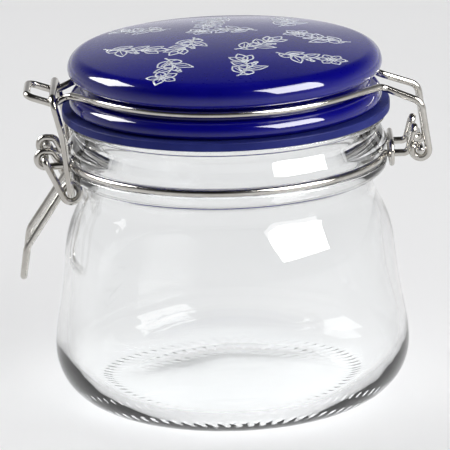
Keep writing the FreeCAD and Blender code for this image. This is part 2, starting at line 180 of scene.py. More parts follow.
def profile(corners, degrees=9.0):
    """Outline as (radius, height) pairs from (radius, height, rounding) corners."""
    line = rounded([(Vector((r, 0, z)), rounding) for r, z, rounding in corners], degrees)
    return [(p.x, p.z) for p in line]


def arc(centre, radius, start, end, count):
    """Points of an arc in the outline's plane, angles in degrees."""
    points = []
    for i in range(count + 1):
        angle = math.radians(start + (end - start) * i / count)
        points.append((centre[0] + radius * math.cos(angle), centre[1] + radius * math.sin(angle)))
    return points


def crown(rim, height, edge_height, count):
    """Arc from a rim to the axis, part of a ball round the axis."""
    rise = height - edge_height
    ball = (rim ** 2 + rise ** 2) / (2 * rise)
    lean = math.degrees(math.asin(rim / ball))
    return arc((0, height - ball), ball, 90 - lean, 90, count)


def side_curve(foot_radius, foot_height, top_radius, top_height, steps):
    """Smooth side through the shares in SIDE_SHAPE, upright at both ends."""
    rise = top_height - foot_height
    knots = [(foot_height, foot_radius)]
    for up, inward in SIDE_SHAPE:
        knots.append((foot_height + rise * up, foot_radius + (top_radius - foot_radius) * inward))
    knots.append((top_height, top_radius))
    # clamped cubic through the knots: slopes by solving the usual three-term system
    n = len(knots)
    width = [knots[i + 1][0] - knots[i][0] for i in range(n - 1)]
    step = [(knots[i + 1][1] - knots[i][1]) / width[i] for i in range(n - 1)]
    slope = [0.0] * n
    lower, upper, right = [0.0] * n, [0.0] * n, [0.0] * n
    for i in range(1, n - 1):
        a, b, c = width[i], 2 * (width[i - 1] + width[i]), width[i - 1]
        d = 3 * (width[i] * step[i - 1] + width[i - 1] * step[i])
        down = b - a * upper[i - 1]
        upper[i] = c / down
        right[i] = (d - a * right[i - 1]) / down
    for i in range(n - 2, 0, -1):
        slope[i] = right[i] - upper[i] * slope[i + 1]
    points = []
    for k in range(steps + 1):
        z = foot_height + rise * k / steps
        i = min(n - 2, max(j for j in range(n - 1) if knots[j][0] <= z + 1e-9))
        t = (z - knots[i][0]) / width[i]
        h = width[i]
        r = ((1 + 2 * t) * (1 - t) ** 2 * knots[i][1] + t * (1 - t) ** 2 * h * slope[i]
             + t * t * (3 - 2 * t) * knots[i + 1][1] + t * t * (t - 1) * h * slope[i + 1])
        points.append((r, z))
    return points


def joined(*parts):
    """One outline from several, without repeated points."""
    line = []
    for part in parts:
        for point in part:
            if not line or math.dist(point, line[-1]) > 1e-3:
                line.append(point)
    return line


# ---------------------------------------------------------------- meshes
def new_object(name, verts, faces, body, material, nodes=()):
    """A smooth piece from millimetre vertices that rides on a body."""
    mesh = bpy.data.meshes.new(name)
    mesh.from_pydata([tuple(c * MM for c in v) for v in verts], [], faces)
    mesh.validate()
    for polygon in mesh.polygons:
        polygon.use_smooth = True
    mesh.materials.append(material)
    piece = bpy.data.objects.new(name, mesh)
    bpy.context.scene.collection.objects.link(piece)
    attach(piece, body)
    if nodes:
        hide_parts(*nodes)


def turn(outline, segments, shift=None):
    """Vertices and faces of a solid of revolution whose outline starts and ends on the axis
    or closes on itself. shift moves a point: (radius, height, angle, index) to (radius, height).
    """
    closed = outline[0][0] > 1e-6
    verts, rows = [], []
    for k, (r, z) in enumerate(outline):
        if r <= 1e-6:
            rows.append([len(verts)] * segments)
            verts.append((0, 0, z))
            continue
        row = []
        for i in range(segments):
            angle = TAU * i / segments
            rr, zz = shift(r, z, angle, k) if shift else (r, z)
            row.append(len(verts))
            verts.append((rr * math.cos(angle), rr * math.sin(angle), zz))
        rows.append(row)
    if closed:
        rows.append(rows[0])
    faces = []
    for low, high in zip(rows, rows[1:]):
        for i in range(segments):
            j = (i + 1) % segments
            face = [low[i], low[j], high[j], high[i]]
            faces.append(tuple(dict.fromkeys(face)))
    return verts, faces


def tube(points, diameter, sides=WIRE_SIDES):
    """Vertices and faces of a round wire along points, with slightly eased ends."""
    ease = 0.22
    heads = [(b - a).normalized() for a, b in zip(points, points[1:])]
    line = [points[0], points[0] + heads[0] * ease] + points[1:-1]
    line += [points[-1] - heads[-1] * ease, points[-1]]
    girth = [diameter / 2 - ease] + [diameter / 2] * (len(line) - 2) + [diameter / 2 - ease]
    heads = [(b - a).normalized() for a, b in zip(line, line[1:])]
    across = heads[0].orthogonal().normalized()
    verts, faces = [], []
    for k, point in enumerate(line):
        before, after = heads[max(k - 1, 0)], heads[min(k, len(heads) - 1)]
        tangent = (before + after).normalized()
        across = (across - tangent * across.dot(tangent)).normalized()
        other = tangent.cross(across)
        for i in range(sides):
            angle = TAU * i / sides
            offset = across * math.cos(angle) + other * math.sin(angle)
            verts.append(point + offset * girth[k])
    for k in range(len(line) - 1):
        for i in range(sides):
            j = (i + 1) % sides
            a, b = k * sides, (k + 1) * sides
            faces.append((a + i, a + j, b + j, b + i))
    faces.append(tuple(reversed(range(sides))))
    faces.append(tuple(range((len(line) - 1) * sides, len(line) * sides)))
    return verts, faces


def loop_tube(points, diameter, sides=WIRE_SIDES):
    """Vertices and faces of a closed round wire that lies in one plane across X."""
    verts, faces = [], []
    count = len(points)
    for k in range(count):
        tangent = (points[(k + 1) % count] - points[k - 1]).normalized()
        across = Vector((1, 0, 0))
        other = tangent.cross(across)
        for i in range(sides):
            angle = TAU * i / sides
            offset = across * math.cos(angle) + other * math.sin(angle)
            verts.append(points[k] + offset * diameter / 2)
    for k in range(count):
        a, b = k * sides, ((k + 1) % count) * sides
        for i in range(sides):
            j = (i + 1) % sides
            faces.append((a + i, a + j, b + j, b + i))
    return verts, faces


# ---------------------------------------------------------------- wire routes
def V(x, y, z):
    return Vector((x, y, z))


def mirrored(points, middle=()):
    """Corners on the -Y side, any in the middle, and the same again on the +Y side."""
    return [*points, *middle, *((V(p.x, -p.y, p.z), r) for p, r in reversed(points))]


def round_corners(centre, radius, start, end, count, place):
    """Corners of a polygon whose rounding by the same radius makes an arc."""
    step = math.radians(end - start) / count
    reach = radius / math.cos(step / 2)
    corners = []
    for i in range(count):
        angle = math.radians(start) + step * (i + 0.5)
        u = centre[0] + reach * math.cos(angle)
        v = centre[1] + reach * math.sin(angle)
        corners.append((place(u, v, (i + 0.5) / count), radius))
    return corners


def ring_exit(radius, half_spread, bend):
    """Angle at which a ring ends and the X of the corner with a run along X."""
    angle = math.asin(half_spread / radius)
    for _ in range(30):
        along = bend * math.tan((math.pi / 2 - angle) / 2) * 1.02
        angle = math.asin((half_spread + along * math.cos(angle)) / radius)
    return math.degrees(angle), radius * math.cos(angle) + along * math.sin(angle)


def half_ring(radius, height, from_hinge, to_latch, count):
    """The -Y half of a ring, from an angle past +X to an angle short of -X."""
    return round_corners((0, 0), radius, -from_hinge, -180 + to_latch, count,
                         lambda u, v, share: V(u, v, height))


def neck_wire_route():
    outer = STOP_SPREAD / 2
    inner = outer - STOP_WIDTH
    pin_end = HINGE_ARM_SPREAD / 2 + WIRE / 2 + PIN_OVERHANG
    bend = 2.4
    level = WIRE_GROOVE_HEIGHT
    hinge_angle, hinge_corner = ring_exit(NECK_WIRE_RADIUS, outer, bend)
    eye = EYE_SPREAD / 2
    latch_angle, latch_corner = ring_exit(NECK_WIRE_RADIUS, eye + 1.2, bend)
    eye_end = LEVER_PIVOT[0] - EYE_RADIUS
    eye_low = LEVER_PIVOT[1] - EYE_RADIUS
    eye_high = LEVER_PIVOT[1] + EYE_RADIUS
    back_angle = math.radians(5)
    back_run = 2.3
    points = [
        (V(HINGE[0], -pin_end, HINGE[1]), 0),
        (V(HINGE[0], -inner, HINGE[1]), 1.5),
        (V(STOP_FOOT[0], -inner, HINGE[1]), 1.5),
        (V(STOP_TOP[0], -inner, STOP_TOP[1]), STOP_WIDTH / 2),
        (V(STOP_TOP[0], -outer, STOP_TOP[1]), STOP_WIDTH / 2),
        (V(STOP_FOOT[0] - 0.2, -outer, level), 1.8),
        (V(hinge_corner, -outer, level), bend),
    ]
    points += half_ring(NECK_WIRE_RADIUS, level, hinge_angle, latch_angle, 5)
    points += [
        (V(-latch_corner, -eye - 1.2, level), bend),
        (V(LEVER_PIVOT[0] + 1.0, -eye - 0.3, eye_low), 4.0),
        (V(eye_end, -eye, eye_low), EYE_RADIUS - 0.05),
        (V(eye_end, -eye, eye_high), EYE_RADIUS - 0.05),
        (V(LEVER_PIVOT[0] + 2.2, -eye + 0.5, eye_high - 0.1), 1.6),
        (V(-NECK_WIRE_RADIUS - 2.6, -eye + 1.3, level + 0.3), 1.6),
        (V(-NECK_WIRE_RADIUS * math.cos(back_angle) + back_run * math.sin(back_angle),
           -NECK_WIRE_RADIUS * math.sin(back_angle) - back_run * math.cos(back_angle),
           level), 1.9),
    ]
    middle = V(-NECK_WIRE_RADIUS / math.cos(back_angle), 0, level)
    return mirrored(points, [(middle, NECK_WIRE_RADIUS)])


def leave_x(half_spread, ring_end):
    """X at which the lid wire, straight after its ring, has come in to half_spread."""
    angle = math.radians(ring_end)
    return (LID_WIRE_RADIUS - half_spread * math.sin(angle)) / math.cos(angle)


def tab_corners(y):
    """Root, notch and end of one wire of the lid's tab."""
    return (
        V(-leave_x(TAB_SPREAD / 2, TAB_LEAVE), y, LID_WIRE_Z - LID_WIRE_DROOP),
        V(NOTCH[0], y, NOTCH[1]),
        V(TAB_END[0], y, TAB_END[1]),
    )


def lid_wire_route():
    arm = HINGE_ARM_SPREAD / 2
    tab = TAB_SPREAD / 2
    root_y = HINGE_ROOT_SPREAD / 2
    first = math.radians(HOOK_START)
    hook_end = V(HINGE[0] + HOOK_RADIUS * math.cos(first), -arm,
                 HINGE[1] + HOOK_RADIUS * math.sin(first))
    points = [(hook_end, 0)]
    rise_x, rise_z = LID_ELBOW[0] - HINGE[0], LID_ELBOW[1] - HINGE[1]
    lean = math.acos(HOOK_RADIUS / math.hypot(rise_x, rise_z))
    last = 360 + math.degrees(math.atan2(rise_z, rise_x) - lean)
    points += round_corners(HINGE, HOOK_RADIUS, HOOK_START, last, 5,
                            lambda u, v, share: V(u, -arm, v))
    ring = half_ring(LID_WIRE_RADIUS, LID_WIRE_Z, HINGE_LEAVE, TAB_LEAVE, 7)
    ring[0] = (ring[0][0], 0.9 * LID_WIRE_RADIUS)
    ring[-1] = (ring[-1][0], 0.9 * LID_WIRE_RADIUS)
    points += [
        (V(LID_ELBOW[0], -arm, LID_ELBOW[1]), 3.4),
        (V(leave_x(root_y, HINGE_LEAVE), -root_y, LID_WIRE_Z - LID_WIRE_DROOP), 3.0),
    ]
    points += ring
    root, notch, end = tab_corners(-tab)
    points += [(root, 3.0), (notch, WIRE + SEAT_GAP), (end, 2.6)]
    return mirrored(points)


def lever_route():
    arm = LEVER_SPREAD / 2
    grip = HANDLE_SPREAD / 2
    coil_inner = arm - WIRE - 0.4
    pin_end = EYE_SPREAD / 2 - WIRE / 2 - PIN_OVERHANG
    ax, az = LEVER_PIVOT
    bx, bz = LINK_PIVOT
    gx, gz = HANDLE_BEND
    away = math.hypot(bx - ax, bz - az)
    far = math.hypot(bx - gx, bz - gz)
    arm_heading = math.atan2(bz - az, bx - ax) - math.asin(COIL_RADIUS / away)
    grip_heading = math.atan2(bz - gz, bx - gx) + math.asin(COIL_RADIUS / far) + math.pi
    coil = round_corners(LINK_PIVOT, COIL_RADIUS, math.degrees(arm_heading) - 90,
                         math.degrees(grip_heading) - 90, 6,
                         lambda u, v, share: V(u, -arm + (arm - coil_inner) * share, v))
    points = [(V(ax, -pin_end, az), 0), (V(ax, -arm, az), 1.5)]
    points += [(p, r * 0.96) for p, r in coil]
    points += [
        (V(gx, -grip, gz), 7.0),
        (V(HANDLE_TIP[0], -grip, HANDLE_TIP[1]), 3.2),
    ]
    return mirrored(points)


def link_route():
    leg = LINK_SPREAD / 2
    pin_end = LEVER_SPREAD / 2 - 2 * WIRE
    before, notch, end = tab_corners(-leg)
    back = (before - notch).normalized()
    ahead = (end - notch).normalized()
    half = back.angle(ahead) / 2
    bar = notch + (back + ahead).normalized() * ((WIRE + SEAT_GAP) / math.sin(half))
    points = [
        (V(LINK_PIVOT[0], -pin_end, LINK_PIVOT[1]), 0),
        (V(LINK_PIVOT[0], -leg, LINK_PIVOT[1]), 1.6),
        (V(LINK_BEND[0], -leg, LINK_BEND[1]), 30.0),
        (bar, 3.2),
    ]
    return mirrored(points)


# ---------------------------------------------------------------- materials
def material(name, colour, roughness, **inputs):
    """A Principled material; returns it with its node tree and shader."""
    m = bpy.data.materials.new(name)
    m.use_nodes = True
    tree = m.node_tree
    shader = tree.nodes["Principled BSDF"]
    shader.inputs["Base Color"].default_value = (*colour, 1)
    shader.inputs["Roughness"].default_value = roughness
    for key, value in inputs.items():
        shader.inputs[key.replace("_", " ")].default_value = value
    return m, tree, shader


def node(tree, kind, links=(), **values):
    """A node with named values; links are (socket name, source socket) pairs."""
    n = tree.nodes.new(kind)
    for key, value in values.items():
        if key in n.inputs:
            n.inputs[key].default_value = value
        else:
            setattr(n, key, value)
    for socket, source in links:
        tree.links.new(source, n.inputs[socket])
    return n


def object_coords(tree):
    return node(tree, "ShaderNodeTexCoord").outputs["Object"]


def noise_node(tree, vector, scale, detail=2.0, rough=0.5):
    return node(tree, "ShaderNodeTexNoise", [("Vector", vector)],
                Scale=scale, Detail=detail, Roughness=rough)


def remap(tree, source, low, high, from_low=0.3, from_high=0.7):
    n = node(tree, "ShaderNodeMapRange", [("Value", source)])
    for key, value in (("From Min", from_low), ("From Max", from_high),
                       ("To Min", low), ("To Max", high)):
        n.inputs[key].default_value = value
    return n.outputs["Result"]


def colour_mix(tree, factor, first, second):
    n = node(tree, "ShaderNodeMix", data_type="RGBA")
    tree.links.new(factor, n.inputs[0])
    n.inputs[6].default_value = (*first, 1)
    n.inputs[7].default_value = (*second, 1)
    return n.outputs[2]


def bump(tree, shader, height, strength, distance):
    n = node(tree, "ShaderNodeBump", [("Height", height)])
    n.inputs["Strength"].default_value = strength
    n.inputs["Distance"].default_value = distance
    tree.links.new(n.outputs["Normal"], shader.inputs["Normal"])


def glass_material():
    m, tree, shader = material("clear_glass", (0.978, 0.984, 0.984), 0.0,
                               Transmission_Weight=1.0, IOR=1.5)
    place = object_coords(tree)
    waves = noise_node(tree, place, 55, 2.0)
    bump(tree, shader, waves.outputs["Fac"], 0.10, 0.0006)
    # lamps shine through clear glass, so that what stands inside and behind is lit
    clear = node(tree, "ShaderNodeBsdfTransparent")
    clear.inputs["Color"].default_value = (0.86, 0.87, 0.87, 1)
    path = node(tree, "ShaderNodeLightPath")
    mix = node(tree, "ShaderNodeMixShader")
    tree.links.new(path.outputs["Is Shadow Ray"], mix.inputs[0])
    tree.links.new(shader.outputs[0], mix.inputs[1])
    tree.links.new(clear.outputs[0], mix.inputs[2])
    tree.links.new(mix.outputs[0], tree.nodes["Material Output"].inputs["Surface"])
    return m


def glaze_material():
    m, tree, shader = material("blue_glaze", (0.002, 0.0015, 0.21), 0.30,
                               Specular_IOR_Level=0.02, Coat_Weight=1.0,
                               Coat_Roughness=0.02, Coat_IOR=1.5)
    place = object_coords(tree)
    cloud = noise_node(tree, place, 70, 4.0)
    factor = remap(tree, cloud.outputs["Fac"], 0.0, 1.0)
    colour = colour_mix(tree, factor, (0.0015, 0.001, 0.19), (0.003, 0.002, 0.235))
    tree.links.new(colour, shader.inputs["Base Color"])
    fine = noise_node(tree, place, 900, 2.0)
    tree.links.new(remap(tree, fine.outputs["Fac"], 0.26, 0.36), shader.inputs["Roughness"])
    peel = noise_node(tree, place, 160, 1.0)
    bump(tree, shader, peel.outputs["Fac"], 0.05, 0.0004)
    return m


def print_material():
    m, tree, shader = material("white_print", (0.80, 0.84, 0.90), 0.25,
                               Coat_Weight=0.6, Coat_Roughness=0.06)
    place = object_coords(tree)
    speck = noise_node(tree, place, 1400, 3.0)
    factor = remap(tree, speck.outputs["Fac"], 0.0, 1.0)
    colour = colour_mix(tree, factor, (0.70, 0.76, 0.86), (0.86, 0.89, 0.94))
    tree.links.new(colour, shader.inputs["Base Color"])
    return m


def rubber_material():
    m, tree, shader = material("blue_rubber", (0.015, 0.022, 0.18), 0.5,
                               Specular_IOR_Level=0.12)
    place = object_coords(tree)
    cloud = noise_node(tree, place, 120, 4.0)
    factor = remap(tree, cloud.outputs["Fac"], 0.0, 1.0)
    colour = colour_mix(tree, factor, (0.012, 0.018, 0.16), (0.021, 0.030, 0.21))
    tree.links.new(colour, shader.inputs["Base Color"])
    grain = noise_node(tree, place, 2600, 2.0)
    tree.links.new(remap(tree, grain.outputs["Fac"], 0.42, 0.60), shader.inputs["Roughness"])
    bump(tree, shader, grain.outputs["Fac"], 0.25, 0.00008)
    return m


def wire_material():
    m, tree, shader = material("plated_wire", (0.55, 0.53, 0.50), 0.14, Metallic=1.0)
    place = object_coords(tree)
    cloud = noise_node(tree, place, 240, 4.0)
    factor = remap(tree, cloud.outputs["Fac"], 0.0, 1.0)
    colour = colour_mix(tree, factor, (0.50, 0.48, 0.44), (0.60, 0.58, 0.55))
    tree.links.new(colour, shader.inputs["Base Color"])
    scratch = noise_node(tree, place, 1500, 3.0, 0.6)
    tree.links.new(remap(tree, scratch.outputs["Fac"], 0.10, 0.20), shader.inputs["Roughness"])
    bump(tree, shader, scratch.outputs["Fac"], 0.12, 0.00004)
    return m


GLASS = glass_material()
GLAZE = glaze_material()
PRINT = print_material()
RUBBER = rubber_material()
PLATED = wire_material()


# ---------------------------------------------------------------- the jar
def glass_jar():
    foot_out = BELLY_RADIUS - HEEL_RADIUS
    foot_in = foot_out - FOOT_WIDTH
    inner_heel = HEEL_RADIUS - WALL
    inner_belly = BELLY_RADIUS - WALL
    inner_foot = inner_belly - inner_heel
    lip_foot = JAR_HEIGHT - LIP_HEIGHT
    bead_foot = BEAD_TOP - BEAD_HEIGHT
    under = list(reversed(crown(foot_in, PUSH_UP, 0, 12)))
    heel = arc((foot_out, HEEL_RADIUS), HEEL_RADIUS, -90, 0, 30)
    side = side_curve(BELLY_RADIUS, HEEL_RADIUS, WAIST_RADIUS, WAIST_HEIGHT, 34)
    neck = profile((
        (WAIST_RADIUS, WAIST_HEIGHT, 0),
        (WAIST_RADIUS, bead_foot, 1.6),
        (NECK_RADIUS, bead_foot, 2.0),
        (NECK_RADIUS, BEAD_TOP, 0.7),
        (GROOVE_FLOOR, BEAD_TOP, 0.6),
        (GROOVE_FLOOR, BAND_FOOT, 0.6),
        (NECK_RADIUS, BAND_FOOT, 0.7),
        (NECK_RADIUS, BAND_FOOT + 2.4, 3.0),
        (COVE_RADIUS, lip_foot - COVE_HEIGHT, 3.0),
        (COVE_RADIUS, lip_foot, 0.6),
        (NECK_RADIUS, lip_foot, 0.6),
        (NECK_RADIUS, JAR_HEIGHT, 0.6),
        (MOUTH_RADIUS, JAR_HEIGHT, 1.2),
        (MOUTH_RADIUS, WAIST_HEIGHT, 0),
    ), 24)
    inside = side_curve(inner_belly, FLOOR + inner_heel, MOUTH_RADIUS, WAIST_HEIGHT, 26)
    heel_inside = arc((inner_foot, FLOOR + inner_heel), inner_heel, 0, -90, 14)
    bottom = crown(inner_foot, FLOOR + FLOOR_CROWN, FLOOR, 9)
    outer = joined(under, heel, side, neck)
    outline = joined(outer, list(reversed(inside)), heel_inside, bottom)
    first_inner = len(outer)

    def shift(r, z, angle, k):
        if k < first_inner:
            # dents round the heel, bowed a little, clear of the widest belly
            low, high = TICK_BAND
            if low < r < high and z < 3:
                share = (r - low) / (high - low)
                window = math.sin(math.pi * share) ** 0.7
                phase = angle * TICKS / TAU + 0.22 * (1 - (2 * share - 1) ** 2)
                pulse = max(0.0, math.cos(TAU * phase) - 0.15) / 0.85
                z += TICK_DEPTH * window * pulse
            return r, z
        # the inside of pressed glass is never quite even
        place = Vector((r * math.cos(angle), r * math.sin(angle), z)) / RIPPLE_LENGTH
        ripple = noise.noise(place)
        fade = min(1.0, max(0.0, (WAIST_HEIGHT - z) / 10.0))
        if z < FLOOR + inner_heel and r < inner_foot:
            return r, z + RIPPLE_DEPTH * ripple
        return r + RIPPLE_DEPTH * ripple * fade, z

    verts, faces = turn(outline, TICKS * TICK_SEGMENTS, shift)
    new_object("canister_glass", verts, faces, "jar", GLASS, ["glass_jar"])


# ---------------------------------------------------------------- lid and gasket
SHOULDER_R = LID_RADIUS - SHOULDER_ROUND
CROWN = APEX - CROWN_EASE


def dome_shape():
    """Radius and centre height of the dome's ball, tangent to the shoulder's rounding."""
    drop = RIM_Z - CROWN
    top = SHOULDER_ROUND ** 2 - SHOULDER_R ** 2 - drop ** 2
    ball = top / (2 * drop + 2 * SHOULDER_ROUND)
    return ball, CROWN - ball


def lid():
    ball, centre = dome_shape()
    lean = math.degrees(math.atan2(SHOULDER_R, RIM_Z - centre))
    dome = list(reversed(arc((0, centre), ball, 90 - lean, 90, 24)))
    shoulder = arc((SHOULDER_R, RIM_Z), SHOULDER_ROUND, 90 - lean, 0, 20)
    rim = arc((RIM_R, RIM_Z), RIM_ROUND, 0, -60, 10)
    plug_foot = FLANGE_FOOT - PLUG_DEPTH
    inner_radius = PLUG_RADIUS - LID_WALL
    ceiling = APEX - LID_CEILING
    groove = profile((
        (rim[-1][0], rim[-1][1], 0),
        (LID_NECK_RADIUS, LID_WIRE_Z + GROOVE_HALF, 0.5),
        (LID_NECK_RADIUS, FLANGE_TOP, 0.4),
        (FLANGE_RADIUS - FLANGE_BELLY, FLANGE_TOP, 0),
    ), 12)
    flange = arc((FLANGE_RADIUS - FLANGE_BELLY, FLANGE_TOP - FLANGE_BELLY),
                 FLANGE_BELLY, 90, 0, 14)
    lower = profile((
        (flange[-1][0], flange[-1][1], 0),
        (FLANGE_RADIUS, FLANGE_FOOT + 1.0, 0.8),
        (FLANGE_RADIUS - 1.1, FLANGE_FOOT, 0.4),
        (PLUG_RADIUS, FLANGE_FOOT, 0.4),
        (PLUG_RADIUS - 0.6, plug_foot, 1.6),
        (inner_radius + 0.6, plug_foot, 1.6),
        (inner_radius, ceiling, 6.0),
        (0, ceiling, 0),
    ), 12)
    verts, faces = turn(joined(dome, shoulder, rim, groove, flange, lower), LATHE_SEGMENTS)
    new_object("canister_lid", verts, faces, "lid", GLAZE, ["lid"])


def gasket():
    inner = PLUG_RADIUS + 0.3
    outline = profile((
        (inner + 1, GASKET_FOOT, 0),
        (GASKET_RADIUS, GASKET_FOOT, 0.35),
        (GASKET_RADIUS, GASKET_TOP, 0.35),
        (inner, GASKET_TOP, 0.35),
        (inner, GASKET_FOOT, 0.35),
        (inner + 1, GASKET_FOOT, 0),
    ), 15)
    verts, faces = turn(outline[:-1], LATHE_SEGMENTS)
    new_object("sealing_gasket", verts, faces, "lid", RUBBER, ["gasket"])


# ---------------------------------------------------------------- the print
PRINT_LIFT = 0.035         # the print's top, over the glaze
PRINT_SINK = 0.10          # its underside, in the lid
LINE = 0.50                # width of a drawn line
SMALLEST_CAP = 0.12        # half width from which a line's end is rounded
SPRIG_RINGS = ((11.5, 3, 78), (29.5, 8, 8))   # radius, number of sprigs, first angle
SPRIG_SIZE = 1.02


def on_dome(u, v, lift):
    """A point over the lid's top at plan position (u, v)."""
    ball, centre = dome_shape()
    r = math.hypot(u, v)
    if r > SHOULDER_R:
        over = min(r - SHOULDER_R, SHOULDER_ROUND - 0.01)
        return Vector((u, v, RIM_Z + math.sqrt(SHOULDER_ROUND ** 2 - over ** 2) + lift))
    normal = Vector((u, v, math.sqrt(ball ** 2 - r * r))) / ball
    return Vector((0, 0, centre)) + normal * (ball + lift)


class Ink:
    """Collects closed thin shapes that follow the lid's top."""

    def __init__(self):
        self.verts = []
        self.faces = []

    def fill(self, outline):
        """A filled shape from a closed plan outline that its middle can see."""
        count = len(outline)
        mid = sum((Vector(p) for p in outline), Vector((0, 0))) / count
        base = len(self.verts)
        for lift in (PRINT_LIFT, -PRINT_SINK):
            for u, v in outline:
                self.verts.append(on_dome(u, v, lift))
            self.verts.append(on_dome(mid[0], mid[1], lift))
        low = base + count + 1
        for i in range(count):
            j = (i + 1) % count
            self.faces.append((base + i, base + j, base + count))
            self.faces.append((low + j, low + i, low + count))
            self.faces.append((base + j, base + i, low + i, low + j))

    def stroke(self, points, width, taper=0.0, closed=False):
        """A line of some width. taper thins it towards its end."""
        pts = [Vector(p) for p in points]
        count = len(pts)
        left, right = [], []
        for k in range(count):
            before = pts[k - 1] if (k or closed) else pts[k]
            after = pts[(k + 1) % count] if (k < count - 1 or closed) else pts[k]
            way = (after - before).normalized()
            side = Vector((-way.y, way.x))
            half = width / 2 * (1 - taper * k / max(1, count - 1))
            left.append(pts[k] + side * half)
            right.append(pts[k] - side * half)
        base = len(self.verts)
        for lift in (PRINT_LIFT, -PRINT_SINK):
            for p in left + right:
                self.verts.append(on_dome(p.x, p.y, lift))
        top_l, top_r = base, base + count
        low_l, low_r = base + 2 * count, base + 3 * count
        spans = count if closed else count - 1
        for k in range(spans):
            n = (k + 1) % count
            self.faces.append((top_r + k, top_r + n, top_l + n, top_l + k))
            self.faces.append((low_l + k, low_l + n, low_r + n, low_r + k))
            self.faces.append((top_l + k, top_l + n, low_l + n, low_l + k))
            self.faces.append((top_r + n, top_r + k, low_r + k, low_r + n))
        if not closed:
            e = count - 1
            self.faces.append((top_l, low_l, low_r, top_r))
            self.faces.append((top_r + e, low_r + e, low_l + e, top_l + e))
            for point, half in ((pts[0], width / 2), (pts[-1], width / 2 * (1 - taper))):
                if half > SMALLEST_CAP:
                    self.dot(point, half)

    def dot(self, centre, radius):
        ring = [(centre[0] + radius * math.cos(TAU * i / 12),
                 centre[1] + radius * math.sin(TAU * i / 12)) for i in range(12)]
        self.fill(ring)


def curve_points(start, heading, bends, step=0.45):
    """A line that starts at a point and heading and turns as (length, degrees) bends say."""
    x, y = start
    angle = math.radians(heading)
    line = [(x, y)]
    for length, turning in bends:
        count = max(2, round(length / step))
        for _ in range(count):
            angle += math.radians(turning) / count
            x += length / count * math.cos(angle)
            y += length / count * math.sin(angle)
            line.append((x, y))
    return line, math.degrees(angle)


def petal_outline(base, heading, length, width, count=14):
    """A pointed oval from its base point."""
    h = math.radians(heading)
    ahead = Vector((math.cos(h), math.sin(h)))
    side = Vector((-ahead.y, ahead.x))
    points = []
    for sign in (1, -1):
        shares = range(count) if sign == 1 else range(count, 0, -1)
        for i in shares:
            t = i / count
            bulge = math.sin(math.pi * t ** 0.85) * width / 2
            p = Vector(base) + ahead * length * t + side * sign * bulge
            points.append((p.x, p.y))
    return points


def leaf(ink, base, heading, length, width):
    """A leaf drawn in outline, with its vein."""
    ink.stroke(petal_outline(base, heading, length, width), LINE, closed=True)
    h = math.radians(heading)
    start = (base[0] + 0.15 * length * math.cos(h), base[1] + 0.15 * length * math.sin(h))
    line, _ = curve_points(start, heading, [(0.62 * length, 6)])
    ink.stroke(line, LINE * 0.8, 0.5)


def daisy(ink, centre, size, petals, turn_by):
    """Open flower with rounded petals round a dot."""
    for i in range(petals):
        heading = turn_by + 360 * i / petals
        h = math.radians(heading)
        base = (centre[0] + 0.24 * size * math.cos(h), centre[1] + 0.24 * size * math.sin(h))
        ink.stroke(petal_outline(base, heading, 0.78 * size, 0.62 * size), LINE, closed=True)
        line, _ = curve_points(base, heading, [(0.42 * size, 0)])
        ink.stroke(line, LINE * 0.8, 0.6)
    ink.dot(centre, 0.20 * size)


def bell(ink, base, heading, size):
    """Side view of a cupped bloom: three long petals and a round calyx."""
    for offset, length, width in ((-38, 0.95, 0.50), (38, 0.95, 0.50), (0, 1.15, 0.55)):
        ink.stroke(petal_outline(base, heading + offset, size * length, size * width),
                   LINE, closed=True)
    ink.dot(base, 0.22 * size)


def berry(ink, start, heading, size, bends):
    """A ring of the given radius on a thin stalk."""
    line, after = curve_points(start, heading, bends)
    ink.stroke(line, LINE * 0.9)
    tip = line[-1]
    h = math.radians(after)
    centre = (tip[0] + size * math.cos(h), tip[1] + size * math.sin(h))
    ring = [(centre[0] + size * math.cos(TAU * i / 16),
             centre[1] + size * math.sin(TAU * i / 16)) for i in range(16)]
    ink.stroke(ring, LINE, closed=True)


def at(line, share):
    """Point and heading part of the way along a line."""
    k = min(len(line) - 2, int(share * (len(line) - 1)))
    (x0, y0), (x1, y1) = line[k], line[k + 1]
    return line[k], math.degrees(math.atan2(y1 - y0, x1 - x0))


def sprig(ink, centre, heading, kind, size):
    """One generic sprig: a bowed stem with a bloom, leaves and tendrils."""
    side = 1 if kind % 2 == 0 else -1
    h = math.radians(heading)
    start = (centre[0] - 7.0 * size * math.cos(h), centre[1] - 7.0 * size * math.sin(h))
    bow = side * (34 if kind < 3 else 56)
    stem, after = curve_points(start, heading - bow / 2, [(13.0 * size, bow)])
    ink.stroke(stem, LINE * 1.15, 0.25)
    tip = stem[-1]
    if kind in (0, 3):
        h2 = math.radians(after)
        middle = (tip[0] + 3.4 * size * math.cos(h2), tip[1] + 3.4 * size * math.sin(h2))
        daisy(ink, middle, 4.4 * size, 6 if kind == 0 else 5, after)
    else:
        bell(ink, tip, after, 5.8 * size)
    for share, way, length in ((0.22, 1, 6.0), (0.44, -1, 6.8), (0.68, 1, 5.8)):
        base, along = at(stem, share)
        leaf(ink, base, along + side * way * 52, length * size, 3.1 * size)
    for share, way, lean, bends, bud in (
        (0.30, side, 70, ((4.8, -60), (8.4, -310)), 0.30),
        (0.10, -side, 75, ((4.0, -60), (7.2, -300)), 0),
    ):
        base, along = at(stem, share)
        tendril, _ = curve_points(base, along + way * lean,
                                  [(length * size, way * bend) for length, bend in bends])
        ink.stroke(tendril, LINE, 0.1)
        if bud:
            ink.dot(tendril[-1], bud * size)
    for share, lean, radius, length, bend in (
        (0.58, 62, 0.62, 3.2, 55),
        (0.78, 40, 0.50, 2.6, -30),
    ):
        base, along = at(stem, share)
        berry(ink, base, along - side * lean, radius * size, [(length * size, side * bend)])
    ink.dot(start, 0.42)


